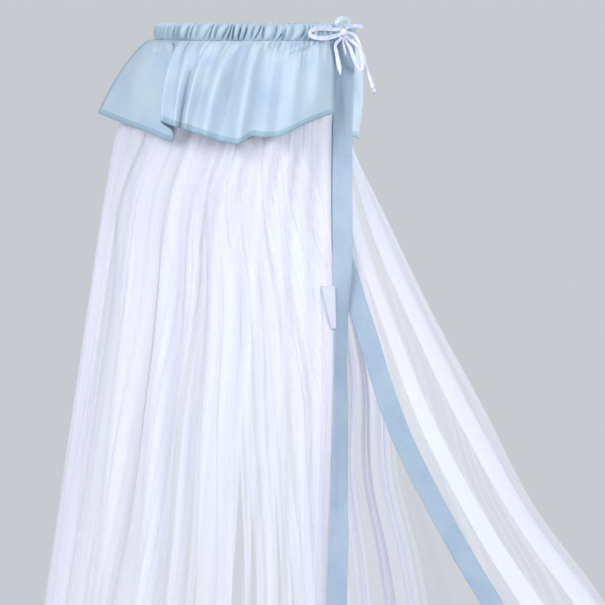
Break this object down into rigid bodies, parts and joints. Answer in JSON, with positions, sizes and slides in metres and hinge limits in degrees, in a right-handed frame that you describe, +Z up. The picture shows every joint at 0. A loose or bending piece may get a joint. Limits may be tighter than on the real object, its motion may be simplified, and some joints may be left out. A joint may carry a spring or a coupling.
{
  "type": "mosquito net canopy",
  "caption": "Cot mosquito net canopy: white tulle gathered under a pale blue ruffled heading, with blue edge bands and a soft tie",
  "frame": {"origin": "centre of the heading's top edge", "axes": "metres, +Z up, front towards -Y, +X to the right as seen from the front"},
  "size_m": [1.278, 0.7373, 1.6361],
  "materials": {
    "net": "sheer white tulle, matte",
    "frill": "pale blue cotton, matte, gathered",
    "band": "pale blue cotton strip, matte",
    "tie": "soft off-white cord, matte",
    "label": "white woven tape, plain, matte"
  },
  "bodies": {
    "root": {"heading": "frill", "net": "net", "valance_front": "frill", "valance_back": "frill", "band_left": "band", "band_right": "band", "label": "label", "tie_knot": "tie", "tie_loop_left": "tie", "tie_loop_right": "tie", "tie_loop_back": "tie", "tie_end_short": "tie", "tie_end_thin": "tie", "tie_end_long": "tie", "tie_stub": "tie", "tie_tip_knot": "tie"}
  },
  "joints": []
}
